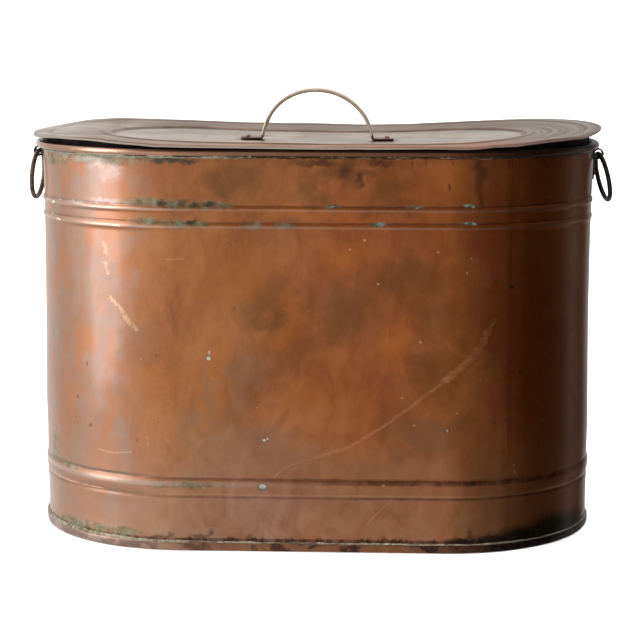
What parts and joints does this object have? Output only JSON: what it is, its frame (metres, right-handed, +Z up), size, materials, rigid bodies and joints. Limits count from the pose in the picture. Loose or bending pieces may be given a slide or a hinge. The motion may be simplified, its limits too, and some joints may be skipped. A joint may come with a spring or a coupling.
{
  "type": "wash boiler",
  "caption": "Copper wash boiler with flat sides, round ends, pressed bands, a folded bottom seam, hanging ring handles and a bowed lift-off lid with an arched strap handle.",
  "frame": {"origin": "centre of the flat bottom, on the surface that it stands on", "axes": "+X along the length towards the right ring handle, -Y the front, +Z up"},
  "size_m": [0.593, 0.3148, 0.4448],
  "materials": {
    "copper": "aged satin copper with brown patina",
    "lid_copper": "aged satin copper, taupe patina",
    "handle_copper": "worn satin copper",
    "rivet_copper": "aged copper",
    "solder": "dull tin solder",
    "iron": "blackened iron wire and strap"
  },
  "bodies": {
    "boiler": {"front_sheet": "copper", "back_sheet": "copper", "rim_wire": "iron", "rim_solder": "solder", "bottom_pan": "copper", "bottom_seam_solder": "solder", "lug_left": "iron", "lug_right": "iron", "lug_rivet_left_1": "rivet_copper", "lug_rivet_left_2": "rivet_copper", "lug_rivet_right_1": "rivet_copper", "lug_rivet_right_2": "rivet_copper"},
    "lid": {"lid_panel": "lid_copper", "lid_collar": "lid_copper", "lid_handle": "handle_copper", "lid_rivet_1": "rivet_copper", "lid_rivet_2": "rivet_copper", "lid_rivet_3": "rivet_copper", "lid_rivet_4": "rivet_copper"},
    "left_ring": {"ring_left": "iron"},
    "right_ring": {"ring_right": "iron"}
  },
  "joints": [
    {"name": "lid_lift", "type": "slide", "parent": "boiler", "child": "lid", "axis": [0, 0, 1], "range_m": [0, 0.15]},
    {"name": "ring_left_swing", "type": "hinge", "parent": "boiler", "child": "left_ring", "pos_m": [-0.2858, 0, 0.38], "axis": [0, 1, 0], "range_deg": [-6, 138]},
    {"name": "ring_right_swing", "type": "hinge", "parent": "boiler", "child": "right_ring", "pos_m": [0.2858, 0, 0.38], "axis": [0, -1, 0], "range_deg": [-13, 124]}
  ]
}
